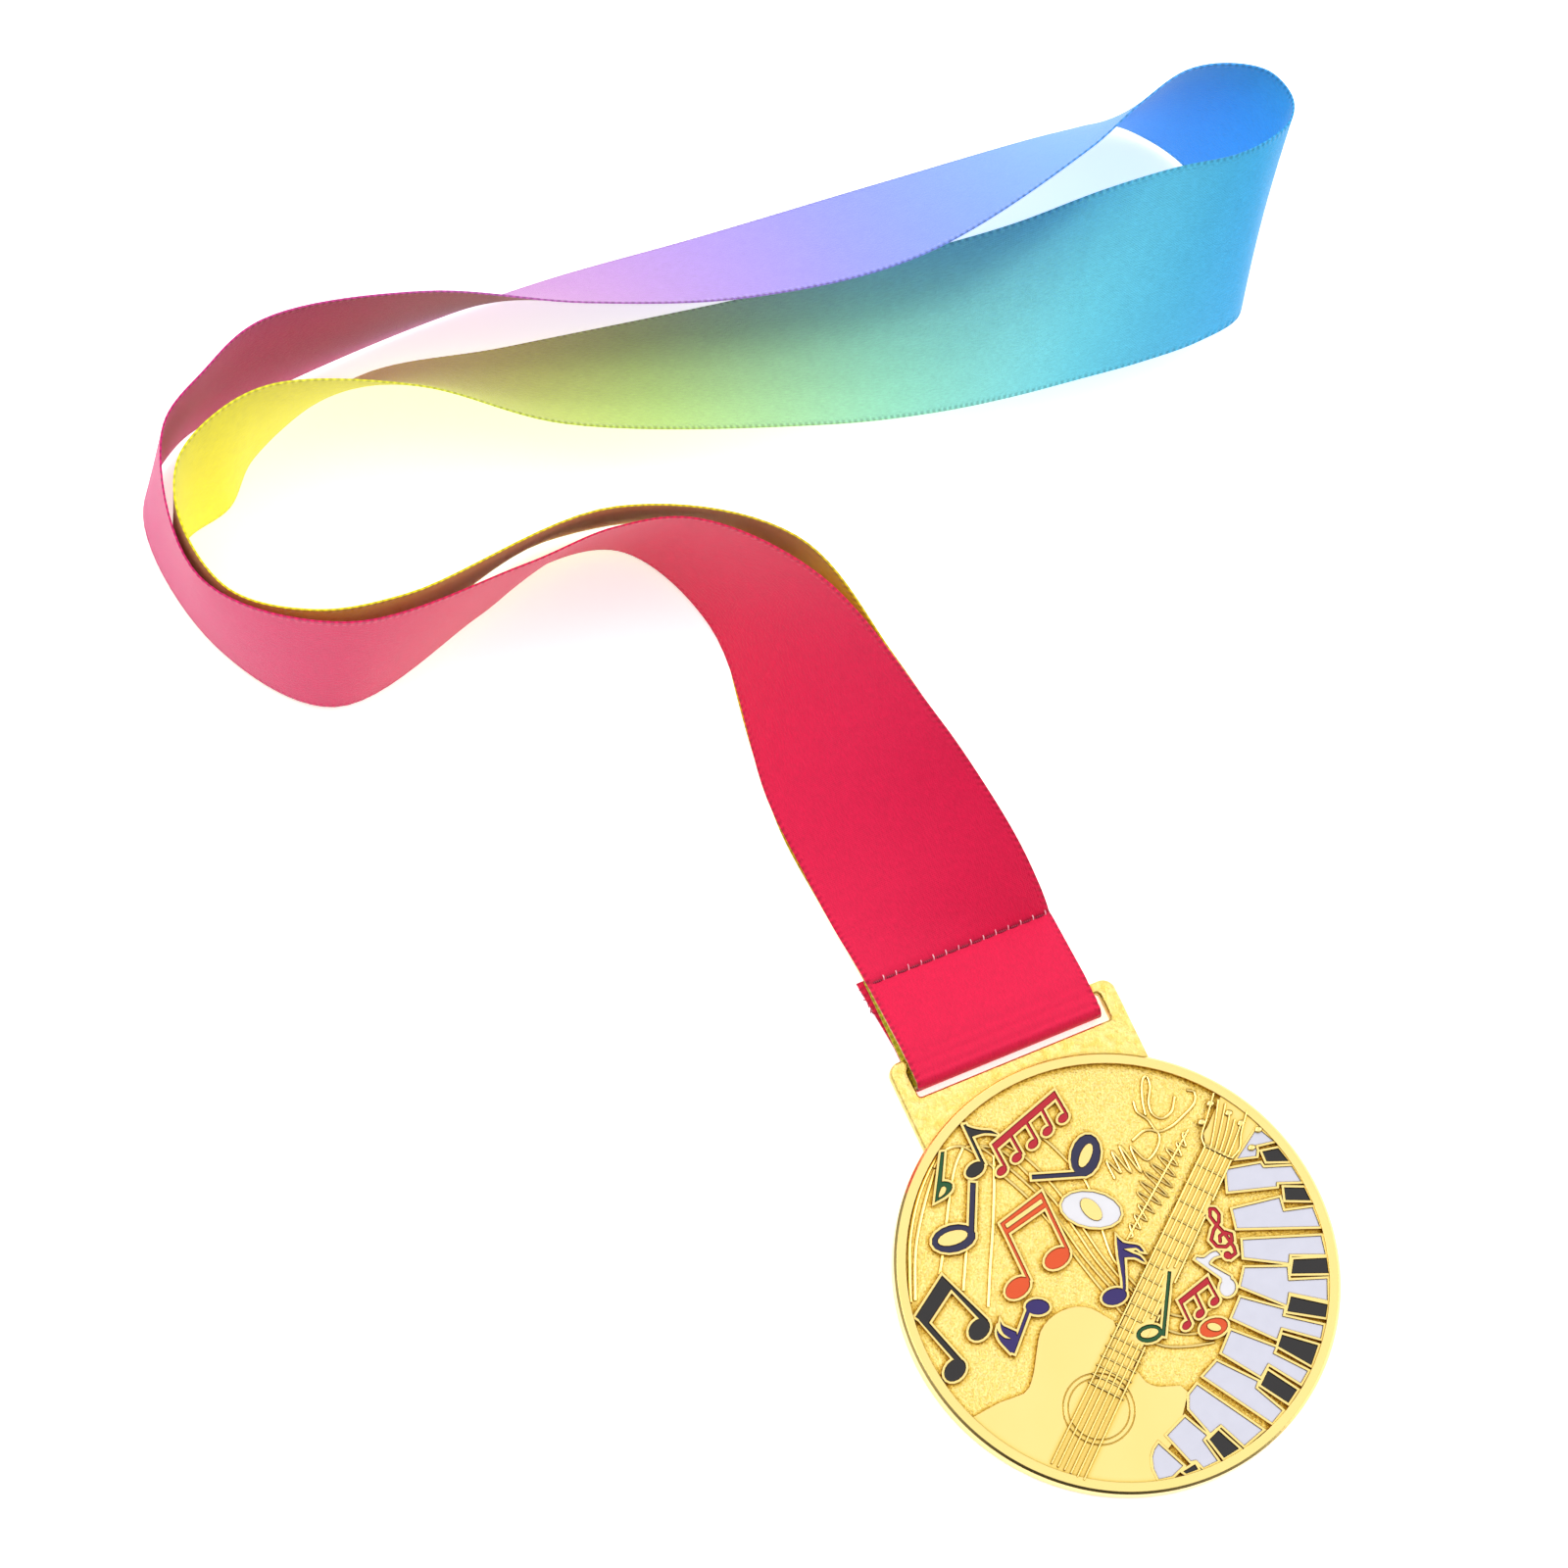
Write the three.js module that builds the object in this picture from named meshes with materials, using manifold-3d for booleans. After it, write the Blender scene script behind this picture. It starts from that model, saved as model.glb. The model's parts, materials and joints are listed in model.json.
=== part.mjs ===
import * as THREE from 'three';
import { mergeVertices } from 'three/addons/utils/BufferGeometryUtils.js';
import Module from 'manifold-3d';

const wasm = await Module();
wasm.setup();

// Sizes in millimetres. The medal's back lies on z = 0 and its face looks up.
const discRadius = 35;
const discThick = 3;
const rimInner = 33.2;
const fieldTop = 2.3;
const guitarTop = 2.8;
const neckTop = 2.9;
const padTop = 2.85;
const pocketFloor = 2.2;
const enamelTop = 2.7;
const wall = 0.38;
const enamelGap = 0.05;

const hangerHalf = 19.6;
const hangerTop = 43.3;
const hangerLow = 1.1;
const hangerHigh = 2.7;
const slotHalf = 16.8;
const slotLow = 36.9;
const slotHigh = 41.6;

const ribbonThick = 0.3;

const gold = { color: 0xd9a441, roughness: 0.28, metalness: 1 };

// The ribbon's loop from one side of the stitch line to the other. Each entry is
// a point on its left edge and the point across from it on its right edge.
const loop = [
  [-16.3, 56.8, 1.5, 15.7, 56.8, 1.5],
  [-16.7, 61, 1.5, 15, 60.5, 5],
  [-17.3, 67, 1.4, 13.3, 67.5, 10.5],
  [-17.8, 78, 1.4, 10.2, 77.5, 16.5],
  [-18, 90.5, 1.5, 6.5, 87.5, 22],
  [-14, 120.5, 0.5, -3, 113, 29.5],
  [-22, 136.5, 2, -17.5, 127.5, 32.5],
  [-34, 139, 3, -30.5, 130.5, 34],
  [-48, 135, 2.5, -46, 130, 34],
  [-75, 129.5, 2, -75, 131.5, 33.5],
  [-88, 146, 1, -92.5, 146.5, 33],
  [-90, 170, 1, -88.5, 170.5, 33],
  [-81, 179, 1.5, -78.5, 177.5, 33],
  [-69, 182, 1, -67, 182, 33],
  [-42.5, 184.5, 0.5, -41.5, 178, 31.5],
  [-15.5, 184.5, 0.5, -17.5, 168.5, 28],
  [12.5, 182.5, 0.5, 8.5, 161.5, 24],
  [43.5, 180.5, 1, 37.5, 158.5, 23.5],
  [76.5, 178, 1.5, 68.5, 163.5, 29.5],
  [84.5, 176.5, 1.5, 79, 167, 31.5],
  [90, 171.5, 1, 88, 169, 33],
  [93.5, 165, 1, 95.5, 167.5, 33],
  [94.5, 157, 1.5, 101, 164, 32.5],
  [93, 149, 3, 102.5, 159, 32],
  [91, 141.5, 5, 100.5, 155.5, 32],
  [87, 135.5, 7.5, 95.5, 153.5, 32.5],
  [78.5, 133.5, 9, 90, 153.5, 31],
  [67, 133, 11, 82, 156.5, 26.5],
  [55, 133.5, 12.5, 71.5, 160, 18.5],
  [43, 135, 12, 58.5, 163, 9.5],
  [31.5, 137.5, 10.5, 42.5, 166.5, 3.2],
  [13.5, 141, 13.5, 22, 169, 0.9],
  [-27.5, 153, 22.5, -24.5, 176, 0.5],
  [-48, 164.5, 29.5, -49.5, 179.5, 1.5],
  [-69.5, 171.5, 33, -70, 173, 1],
  [-79.5, 170.5, 32.5, -77, 166.5, 1],
  [-88, 165.5, 32.5, -84.5, 164.5, 0.5],
  [-91.5, 156.5, 32.5, -89.5, 161, 0.5],
  [-89, 143.5, 32, -86, 147.5, 0.5],
  [-78.5, 135.5, 32.5, -80, 136.5, 0.5],
  [-64.5, 132.5, 33, -67.5, 134.5, 1],
  [-29, 133.5, 34, -33.5, 142.5, 3],
  [-4, 120, 30.5, -7.5, 134.5, 1.5],
  [4, 98.5, 23.5, -13.5, 115, 0.5],
  [12.5, 76, 7.5, -18, 86.5, 0.4],
  [14.4, 66.5, 2.4, -17.4, 72.5, 0.5],
  [15.2, 61.5, 1.5, -16.8, 64.5, 0.8],
  [15.7, 56.8, 1.1, -16.3, 56.8, 1.1],
];

// Solids.

function solidOf(geometry) {
  geometry.deleteAttribute('normal');
  geometry.deleteAttribute('uv');
  const merged = mergeVertices(geometry, 1e-5);
  return new wasm.Manifold(new wasm.Mesh({
    numProp: 3,
    vertProperties: new Float32Array(merged.attributes.position.array),
    triVerts: new Uint32Array(merged.index.array),
  }));
}

function geometryOf(solid) {
  const mesh = solid.getMesh();
  const geometry = new THREE.BufferGeometry();
  geometry.setAttribute('position', new THREE.Float32BufferAttribute(mesh.vertProperties, 3));
  geometry.setIndex(Array.from(mesh.triVerts));
  const flat = geometry.toNonIndexed();
  flat.computeVertexNormals();
  return flat;
}

function prism(outline, low, high) {
  const geometry = new THREE.ExtrudeGeometry(new THREE.Shape(outline), {
    depth: high - low,
    bevelEnabled: false,
  });
  geometry.translate(0, 0, low);
  return solidOf(geometry);
}

function united(solids) {
  return solids.reduce((sum, solid) => sum.add(solid));
}

// Outlines. Each maker gives a function of how far the outline grows.

function oval(x, y, a, b, tilt, sides = 16) {
  const turn = THREE.MathUtils.degToRad(tilt);
  return (grow) => {
    const curve = new THREE.EllipseCurve(x, y, a + grow, b + grow, 0, 2 * Math.PI, false, turn);
    return curve.getPoints(sides).slice(0, sides);
  };
}

function bar(x1, y1, x2, y2, width) {
  return (grow) => {
    const start = new THREE.Vector2(x1, y1);
    const end = new THREE.Vector2(x2, y2);
    const along = end.clone().sub(start).normalize();
    const side = new THREE.Vector2(-along.y, along.x).multiplyScalar(width / 2 + grow);
    start.addScaledVector(along, -grow);
    end.addScaledVector(along, grow);
    return [
      start.clone().sub(side),
      end.clone().sub(side),
      end.clone().add(side),
      start.clone().add(side),
    ];
  };
}

// A closed outline through points. A third value of 1 makes a corner.
function trace(points, steps) {
  const count = points.length;
  const out = [];
  for (let i = 0; i < count; i += 1) {
    const here = points[i];
    const next = points[(i + 1) % count];
    const before = here[2] ? here : points[(i + count - 1) % count];
    const after = next[2] ? next : points[(i + 2) % count];
    const curve = new THREE.SplineCurve([before, here, next, after].map(([x, y]) => new THREE.Vector2(x, y)));
    const parts = here[2] && next[2] ? 1 : steps;
    for (let k = 0; k < parts; k += 1) {
      out.push(curve.getPoint((1 + k / parts) / 3));
    }
  }
  return out;
}

function distanceTo(outline, point) {
  let best = Infinity;
  outline.forEach((start, i) => {
    const end = outline[(i + 1) % outline.length];
    const line = new THREE.Line3(new THREE.Vector3(start.x, start.y, 0), new THREE.Vector3(end.x, end.y, 0));
    const spot = line.closestPointToPoint(new THREE.Vector3(point.x, point.y, 0), true, new THREE.Vector3());
    best = Math.min(best, Math.hypot(spot.x - point.x, spot.y - point.y));
  });
  return best;
}

function grown(outline, grow) {
  if (grow === 0) {
    return outline;
  }
  const points = THREE.ShapeUtils.isClockWise(outline) ? outline.slice().reverse() : outline;
  const count = points.length;
  const moved = points.map((point, i) => {
    const into = point.clone().sub(points[(i + count - 1) % count]).normalize();
    const away = points[(i + 1) % count].clone().sub(point).normalize();
    const normal = new THREE.Vector2(into.y + away.y, -into.x - away.x);
    const reach = Math.min(1 / Math.max(normal.length() / 2, 0.01), grow > 0 ? 2 : 5);
    return point.clone().addScaledVector(normal.normalize(), grow * reach);
  });
  return moved.filter((point) => grow < 0 || distanceTo(points, point) > grow * 0.97);
}

function shape(...points) {
  return (grow) => grown(trace(points, 2), grow);
}

// A round-ended stroke along a centreline.
function stroke(width, points) {
  const pieces = [];
  points.forEach(([x, y], i) => {
    pieces.push(oval(x, y, width / 2, width / 2, 22, 8));
    if (i > 0) {
      pieces.push(bar(points[i - 1][0], points[i - 1][1], x, y, width));
    }
  });
  return pieces;
}

// Enamelled notes: what each is made of, and the gold left standing inside it.
const notes = [
  {
    name: 'note_black_eighth',
    color: 0x101014,
    parts: [
      oval(-13.8, 23.07, 1.7, 1.02, 15),
      bar(-12.2, 30.2, -12.2, 23.3, 0.5),
      shape([-12.42, 30.3, 1], [-11.4, 29.3], [-10.1, 28.4], [-8.8, 27.8], [-8, 26.75, 1], [-8.9, 27.3],
        [-10, 27.8], [-11.2, 27.95], [-12.3, 28, 1]),
    ],
    holes: [],
  },
  {
    name: 'note_red_five',
    color: 0xc21f2b,
    parts: [
      shape([-9.65, 25.75, 1], [3.3, 29.8, 1], [3.4, 28.7, 1], [-9.6, 24.6, 1]),
      ...[
        [-10, 21.3, -9.4, -9.2, 25.1],
        [-6.9, 22.3, -6.25, -6, 26.1],
        [-3.6, 23.3, -3.05, -2.8, 27.1],
        [-0.6, 24.3, 0.1, 0.25, 28.1],
        [2.6, 25.25, 3.1, 3.4, 29],
      ].flatMap(([x, y, top, foot, high]) => [oval(x, y, 1, 0.65, 20), bar(top, high, foot, y + 0.2, 0.5)]),
    ],
    holes: [],
  },
  {
    name: 'note_green_flat',
    color: 0x1f8a4c,
    parts: [
      shape([-17.55, 27.65, 1], [-17, 27.5, 1], [-19.4, 23.35, 1], [-18.6, 23], [-18.1, 22.3], [-18.7, 21.45],
        [-20.1, 20.95], [-21.9, 20.75, 1]),
    ],
    holes: [shape([-21, 21.25], [-20, 22.4], [-19.4, 22.5], [-19.3, 22], [-20, 21.4])],
  },
  {
    name: 'note_slate_half',
    color: 0x5a7f9e,
    parts: [oval(-21.6, 14.45, 3.55, 2.15, -8), bar(-18.55, 14.45, -15, 21.3, 0.9)],
    holes: [oval(-21.7, 14.6, 2.45, 1.1, -5)],
  },
  {
    name: 'note_slate_tilted_half',
    color: 0x5a7f9e,
    parts: [oval(3.25, 18.5, 3.5, 2.3, 50), bar(-6.1, 18.6, 1.3, 16.1, 0.75)],
    holes: [oval(3.25, 18.5, 2.1, 0.85, 42)],
  },
  {
    name: 'note_white_whole',
    color: 0xf1eeea,
    parts: [oval(0.3, 10.4, 4.75, 2.85, -32)],
    holes: [oval(0.3, 10.4, 2.1, 1.25, 108)],
  },
  {
    name: 'note_orange_pair',
    color: 0xe8781e,
    parts: [
      oval(-15.75, 3.6, 2.25, 1.45, 15),
      oval(-8, 5.45, 2.3, 1.45, 12),
      bar(-13.6, 13.5, -13.6, 3.9, 0.5),
      bar(-5.92, 15.5, -5.92, 5.8, 0.55),
      shape([-13.9, 13.85, 1], [-5.65, 15.95, 1], [-5.65, 13.5, 1], [-13.85, 11.8, 1]),
    ],
    holes: [shape([-13.2, 13.4, 1], [-6.25, 14.9, 1], [-6.25, 14.25, 1], [-13.2, 12.75, 1])],
  },
  {
    name: 'note_black_pair',
    color: 0x101014,
    parts: [
      oval(-30.3, -4.3, 2.05, 1.45, 25),
      oval(-24.1, 0, 2, 1.45, 25),
      shape([-32.4, 5.6, 1], [-25.8, 9.9, 1], [-25.2, 7.5, 1], [-31.2, 3.7, 1]),
      shape([-32.1, 5, 1], [-30.9, 4.2, 1], [-28.5, -3.6, 1], [-29.5, -3.6, 1]),
      shape([-26.1, 9.4, 1], [-25.7, 9.7, 1], [-22.2, 0.8, 1], [-23.1, 0.6, 1]),
    ],
    holes: [],
  },
  {
    name: 'note_purple_left',
    color: 0x6b2fa0,
    parts: [
      oval(-14.2, -0.3, 1.9, 1.25, -22),
      bar(-15.3, 0.2, -20.9, -5.3, 0.6),
      shape([-21.2, -5.2, 1], [-21.6, -4], [-21.9, -3], [-21.9, -1.75], [-21.5, -0.9, 1], [-21.5, -1.7],
        [-21, -2.75], [-20.2, -3.2, 1], [-20.9, -2.1], [-20.9, -1], [-20.45, 0.15, 1], [-20.5, -0.75],
        [-19.9, -1.5], [-18.9, -2.6, 1], [-19.2, -3.6, 1], [-20.8, -5.1, 1]),
    ],
    holes: [],
  },
  {
    name: 'note_purple_middle',
    color: 0x6b2fa0,
    parts: [
      oval(-2.4, -3.45, 2.05, 1.3, -5),
      shape([2.1, 5.1, 1], [2.6, 3.75], [3.9, 2.9], [4.75, 2.25], [5, 1.1, 1], [4.5, 1.5], [4.1, 2.2],
        [2.25, 2.75, 1], [3.25, 1.6], [4.1, 0.75], [4.45, -0.5, 1], [4, 0], [3.25, 0.9], [1.75, 1.5, 1],
        [0.5, -1.5], [-0.3, -3.2, 1], [-0.9, -3.2, 1], [-0.1, -1.5], [1, 2.25]),
    ],
    holes: [],
  },
  {
    name: 'note_green_half',
    color: 0x1f8a4c,
    parts: [oval(0.05, -10.8, 2.15, 1.4, -8), bar(1.9, -12, 7.3, -3.2, 0.6)],
    holes: [oval(0.1, -10.75, 1.45, 0.7, -8)],
  },
  {
    name: 'note_red_three',
    color: 0xc21f2b,
    parts: [
      shape([6.5, -7.8, 1], [12.5, -6.2, 1], [12.4, -7.3, 1], [6.55, -8.7, 1]),
      ...[
        [6.05, -11.9, 6.75, 6.75, -8.3],
        [8.8, -11.05, 9.5, 9.5, -7.7],
        [11.8, -10.2, 12.25, 12.45, -6.9],
      ].flatMap(([x, y, top, foot, high]) => [oval(x, y, 0.9, 0.6, 20), bar(top, high, foot, y + 0.1, 0.45)]),
    ],
    holes: [],
  },
  {
    name: 'note_orange_whole',
    color: 0xe8781e,
    parts: [oval(9.8, -13.85, 2.35, 1.45, -3)],
    holes: [oval(9.9, -13.8, 1.1, 0.62, -35)],
  },
  {
    name: 'note_white_sixteenth',
    color: 0xf1eeea,
    parts: [
      oval(14.65, -9, 1.5, 1.25, 40),
      shape([11.9, -3, 1], [12.3, -2.75, 1], [13.3, -3.3], [14.5, -3], [15.6, -3.1], [15.9, -4, 1],
        [14.8, -3.9], [13.8, -4.3], [13.7, -4.7, 1], [15.9, -7.6, 1], [15.4, -8.8, 1], [13.9, -8.4, 1],
        [14.4, -7.3, 1]),
    ],
    holes: [],
  },
  {
    name: 'note_red_clef',
    color: 0xc21f2b,
    parts: [
      oval(16.9, -4.4, 0.65, 0.65, 0),
      ...stroke(0.6, [
        [17.1, -4.9], [18.2, -4.6], [18.4, -3.6], [18, -1], [17.45, 0.6], [17.1, 2.2], [17.6, 3.3], [18.3, 3],
        [18.55, 2], [18, 0.9], [16.6, 0], [15.6, -1.2], [16, -2.5], [17.3, -3.1], [18.6, -2.6], [18.95, -1.6],
        [18.2, -0.95], [17.1, -1.2], [16.8, -2],
      ]),
    ],
    holes: [],
  },
];

// Enamelled piano keys, all straight sided.
const whiteKeys = [
  [[25.2, 8.9], [28.2, 8.1], [28.7, 8.9], [28.9, 9.7], [31.9, 9.2], [30.4, 12.2]],
  [[22.8, 8], [28.3, 6.8], [28.4, 6], [32.7, 4.5], [33, 1.7], [29.3, 3.1], [29, 2.5], [21.5, 4.7]],
  [[20.9, 1.9], [28.6, 0.7], [28.2, -1.5], [32.8, -2.7], [32.5, -5.9], [20.2, -1.1]],
  [[20.2, -3.1], [32, -7.3], [31.3, -10.2], [26, -8], [25.3, -9.2], [19.1, -5.7]],
  [[18.5, -7.2], [24.8, -9.7], [24, -11.7], [29.8, -13.8], [28.3, -16.9], [23.2, -13.4], [22, -15.1], [16.6, -9.6]],
  [[15.8, -11.2], [21.3, -15.5], [20.6, -16.4], [25.9, -20.2], [24.6, -21.9], [19.6, -17.9], [18.2, -19.3],
    [13.1, -13.6]],
  [[12.1, -15.3], [17.4, -20.4], [16.6, -21.1], [20.4, -25.7], [18.5, -27], [15.2, -22.2], [13.2, -23.6],
    [9.2, -17.9]],
  [[4.9, -20.1], [7.9, -18.8], [12.4, -24.1], [11.6, -24.9], [13.9, -29.7], [11.6, -30.8]],
  [[1.6, -21.8], [3.4, -20.9], [9.7, -31.2], [6, -32.3], [4.1, -27.9], [2, -28.5], [0.6, -23.8]],
  [[-4.4, -26.2], [-0.6, -24.7], [1.3, -28.6], [0.4, -29], [1.1, -32.8], [-1.4, -32.9], [-1.9, -31.4],
    [-2.8, -31.2]],
  [[-6.2, -26.8], [-4.2, -31.4], [-6.4, -32.2], [-8.6, -31.8], [-8.6, -30], [-8, -28.3], [-7.2, -27.4]],
];
const blackKeys = [
  [[29.4, 8.4], [32, 7.9], [32.6, 5.4], [29.3, 6.7]],
  [[30, 1.9], [33, 0.6], [33, -1.6], [29.3, 0]],
  [[26.2, -9], [31.2, -10.8], [30.4, -13.1], [24.9, -10.9]],
  [[23.2, -14.1], [28, -17.5], [26.8, -19.2], [21.6, -16]],
  [[19.2, -19], [23.7, -22.7], [21.3, -25.1], [17.8, -20.4]],
  [[14.6, -23.2], [17.5, -27.7], [15.3, -29], [12.6, -24.8]],
  [[3.3, -28.6], [5, -32.4], [2.2, -32.8], [1.4, -29.3]],
  [[-4.6, -32.2], [-2.4, -31.9], [-2.3, -32.8], [-4.3, -32.7]],
];

function keysOf(list, name, color) {
  return list.map((points, i) => ({
    name: `${name}_${i + 1}`,
    color,
    parts: [shape(...points.map(([x, y]) => [x, y, 1]))],
    holes: [],
  }));
}

const enamels = [
  ...notes,
  ...keysOf(whiteKeys, 'key_white', 0xe6e0ee),
  ...keysOf(blackKeys, 'key_black', 0x141418),
];

// The rings round an upright solid's top, without points that hardly matter.
function ringsOf(solid, top) {
  const { vertProperties, triVerts } = solid.getMesh();
  const point = (v) => new THREE.Vector2(vertProperties[3 * v], vertProperties[3 * v + 1]);
  const edges = new Map();
  for (let t = 0; t < triVerts.length; t += 3) {
    const corners = Array.from(triVerts.subarray(t, t + 3));
    if (corners.every((v) => Math.abs(vertProperties[3 * v + 2] - top) < 1e-3)) {
      corners.forEach((v, k) => edges.set(`${v} ${corners[(k + 1) % 3]}`, [v, corners[(k + 1) % 3]]));
    }
  }
  const next = new Map();
  edges.forEach(([a, b]) => {
    if (!edges.has(`${b} ${a}`)) {
      next.set(a, b);
    }
  });
  const rings = [];
  while (next.size > 0) {
    const ring = [];
    let at = next.keys().next().value;
    while (next.has(at)) {
      const to = next.get(at);
      next.delete(at);
      ring.push(point(at));
      at = to;
    }
    rings.push(cleaned(ring));
  }
  return rings.filter((ring) => ring.length > 2 && Math.abs(THREE.ShapeUtils.area(ring)) > 0.05);
}

function cleaned(ring) {
  const spaced = ring.filter((point, i) => point.distanceTo(ring[(i + ring.length - 1) % ring.length]) > 0.07);
  return spaced.filter((point, i) => {
    const before = spaced[(i + spaced.length - 1) % spaced.length];
    const after = spaced[(i + 1) % spaced.length];
    const line = after.clone().sub(before);
    return Math.abs(line.cross(point.clone().sub(before))) / line.length() > 0.006;
  });
}

// One upright solid for a whole note or key, grown or shrunk all round.
function enamelSolid(item, grow, low, high, hollow = true) {
  const whole = united(item.parts.map((part) => prism(part(grow), 0, 1)));
  const cut = hollow && item.holes.length > 0
    ? whole.subtract(united(item.holes.map((hole) => prism(hole(-grow), -1, 2))))
    : whole;
  const rings = ringsOf(cut, 1);
  const outer = rings.filter((ring) => THREE.ShapeUtils.area(ring) > 0);
  const inner = rings.filter((ring) => THREE.ShapeUtils.area(ring) < 0);
  const solid = united(outer.map((ring) => prism(ring, low, high)));
  if (!hollow || inner.length === 0) {
    return solid;
  }
  return solid.subtract(united(inner.map((ring) => prism(ring, low - 1, high + 1))));
}

// Raised gold under the enamel: the guitar, its neck and its head.
function guitarOutline() {
  return trace([
    [-36, -12.2, 1], [-31, -12], [-26, -11.5], [-22, -11.7], [-20, -10.3], [-18.3, -8], [-17, -6], [-15.5, -4],
    [-13.5, -2.8], [-11, -2.3], [-8.5, -2.6], [-6.5, -3.8], [-5.2, -5.5], [-4.2, -6.8, 1], [-4.5, -14.8, 1],
    [-4.1, -16], [-3.7, -17.5], [-2.5, -18.7], [-1, -19.3], [1, -20, 1], [1.6, -21.4, 1], [-3, -27, 1],
    [-7.6, -29.4, 1], [-10, -36, 1], [-36, -36, 1],
  ], 2);
}

function round(radius, low, high, x = 0, y = 0) {
  const geometry = new THREE.CylinderGeometry(radius, radius, high - low, 96);
  geometry.rotateX(Math.PI / 2);
  geometry.translate(x, y, (low + high) / 2);
  return solidOf(geometry);
}

function discSolid() {
  const circle = new THREE.Shape().absarc(0, 0, discRadius, 0, 2 * Math.PI, false);
  const geometry = new THREE.ExtrudeGeometry(circle, {
    depth: discThick - 0.8,
    bevelThickness: 0.4,
    bevelSize: 0.4,
    bevelOffset: -0.4,
    bevelSegments: 1,
    curveSegments: 96,
  });
  geometry.translate(0, 0, 0.4);
  return solidOf(geometry);
}

function roundedBox(into, left, right, low, high, radius) {
  into.moveTo(left + radius, low);
  into.lineTo(right - radius, low);
  into.absarc(right - radius, low + radius, radius, -Math.PI / 2, 0, false);
  into.absarc(right - radius, high - radius, radius, 0, Math.PI / 2, false);
  into.absarc(left + radius, high - radius, radius, Math.PI / 2, Math.PI, false);
  into.absarc(left + radius, low + radius, radius, Math.PI, 1.5 * Math.PI, false);
  return into;
}

// The plate with the ribbon slot. The bar above the slot carries the ribbon.
function hangerSolid() {
  const plate = roundedBox(new THREE.Shape(), -hangerHalf, hangerHalf, 26, hangerTop, 2);
  plate.holes.push(roundedBox(new THREE.Path(), -slotHalf, slotHalf, slotLow, slotHigh, 0.5));
  const edge = 0.3;
  const geometry = new THREE.ExtrudeGeometry(plate, {
    depth: hangerHigh - hangerLow - 2 * edge,
    bevelThickness: edge,
    bevelSize: edge,
    bevelOffset: -edge,
    bevelSegments: 1,
    curveSegments: 5,
  });
  geometry.translate(0, 0, hangerLow + edge);
  return solidOf(geometry);
}

function goldSolid() {
  const inside = round(rimInner + 0.1, 2, 4);
  const raised = [
    prism(guitarOutline(), 2.1, guitarTop),
    prism(shape([-11.5, -14.5, 1], [-8.8, -18, 1], [24.1, 9, 1], [21.2, 12.5, 1])(0), 2.1, neckTop),
    prism(shape([20.9, 11.6, 1], [21.8, 13.6], [22.1, 14.6], [23, 15.2, 1], [28.5, 20, 1], [34, 14.5, 1],
      [26.5, 9.2, 1], [23.4, 8.7, 1])(0), 2.1, guitarTop),
    ...enamels.map((item) => enamelSolid(item, wall, 2.1, padTop, false)),
  ];
  const rings = [5.7, 4.9].map((radius) => {
    const outer = round(radius, guitarTop - 0.15, 4, -12.4, -18.4);
    return outer.subtract(round(radius - 0.25, 2, 4.1, -12.4, -18.4));
  });
  return discSolid()
    .add(hangerSolid())
    .subtract(round(rimInner, fieldTop, 4))
    .add(united(raised).intersect(inside))
    .subtract(united(rings))
    .subtract(united(enamels.map((item) => enamelSolid(item, 0, pocketFloor, 4))));
}

// Ribbon. It folds round the hanger's bar at both ends, one layer inside the other.
function foldPath(radius, tailEnd, sideShift) {
  const centre = [39.8, 1.9];
  const path = [];
  [[tailEnd, sideShift], [51, sideShift * 0.4], [46, 0]].forEach(([y, shift]) => {
    path.push([y, centre[1] - radius, shift]);
  });
  for (let k = 0; k <= 8; k += 1) {
    const angle = (-90 - k * 22.5) * Math.PI / 180;
    path.push([centre[0] + radius * Math.cos(angle), centre[1] + radius * Math.sin(angle), 0]);
  }
  path.push([42.4, centre[1] + radius, 0]);
  path.push([45, centre[1] + radius, 0]);
  return path;
}

function ribbonStations() {
  const left = new THREE.CatmullRomCurve3(loop.map(([x, y, z]) => new THREE.Vector3(x, y, z)), false, 'centripetal');
  const right = new THREE.CatmullRomCurve3(loop.map((row) => new THREE.Vector3(row[3], row[4], row[5])), false,
    'centripetal');
  const stations = [];
  foldPath(1.7, 57.8, -1.1).forEach(([y, z, shift]) => {
    stations.push([new THREE.Vector3(-16.4 + shift, y, z), new THREE.Vector3(15.6, y, z)]);
  });
  const parts = (loop.length - 1) * 3;
  for (let k = 0; k <= parts; k += 1) {
    stations.push([left.getPoint(k / parts), right.getPoint(k / parts)]);
  }
  foldPath(1.3, 57.6, 0).reverse().forEach(([y, z]) => {
    stations.push([new THREE.Vector3(15.6, y, z), new THREE.Vector3(-16.4, y, z)]);
  });
  return stations;
}

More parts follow.
